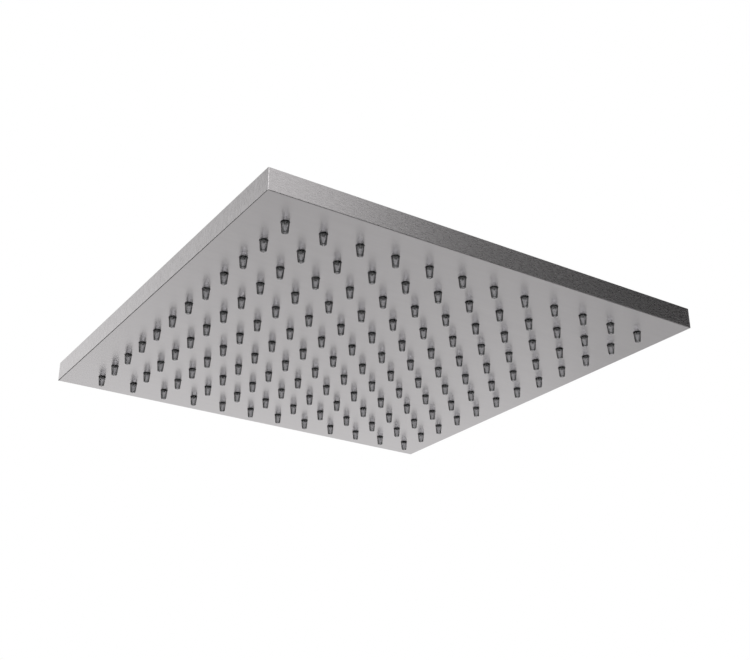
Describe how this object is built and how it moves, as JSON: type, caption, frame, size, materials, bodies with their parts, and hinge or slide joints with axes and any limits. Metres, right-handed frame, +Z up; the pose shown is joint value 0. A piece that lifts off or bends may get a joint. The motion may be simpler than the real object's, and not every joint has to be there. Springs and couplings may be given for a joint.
{
  "type": "rain shower head",
  "caption": "Flat square rain shower head: a folded brushed steel pan with a grid of soft nozzles below and a ball-joint pipe inlet on its back.",
  "frame": {"origin": "centre of the inlet's pipe thread where it starts, just inside the mouth", "axes": "+Z up, out of the inlet; the spray face looks down -Z; X and Y run along the head's sides"},
  "size_m": [0.25, 0.25, 0.0622],
  "materials": {
    "brushed_stainless": "brushed",
    "plated_brass": "satin plated",
    "bare_brass": "turned",
    "smoky_silicone": "translucent, satin",
    "black_seal_rubber": "matte",
    "white_acetal": "moulded"
  },
  "bodies": {
    "stem": {"ball_stem": "plated_brass", "filter_washer": "black_seal_rubber", "filter_screen": "brushed_stainless", "flow_regulator": "white_acetal", "regulator_o_ring": "black_seal_rubber"},
    "retainer": {"retainer_ring": "white_acetal"},
    "seal": {"ball_seal": "black_seal_rubber"},
    "head": {"face_pan": "brushed_stainless", "spray_nozzles": "smoky_silicone", "perimeter_gasket": "black_seal_rubber", "weld_standoffs": "brushed_stainless", "back_cover": "brushed_stainless", "cover_screws": "brushed_stainless", "inlet_spigot": "bare_brass", "spigot_o_ring": "black_seal_rubber", "spigot_washer": "brushed_stainless", "lock_nut": "plated_brass", "swivel_nut": "plated_brass"}
  },
  "joints": [
    {"name": "tilt_x", "type": "hinge", "parent": "stem", "child": "retainer", "pos_m": [0, 0, -0.0325], "axis": [1, 0, 0], "range_deg": [-10, 10]},
    {"name": "tilt_y", "type": "hinge", "parent": "retainer", "child": "seal", "pos_m": [0, 0, -0.0325], "axis": [0, 1, 0], "range_deg": [-10, 10]},
    {"name": "swivel", "type": "hinge", "parent": "seal", "child": "head", "pos_m": [0, 0, -0.0325], "axis": [0, 0, 1], "continuous": true}
  ]
}
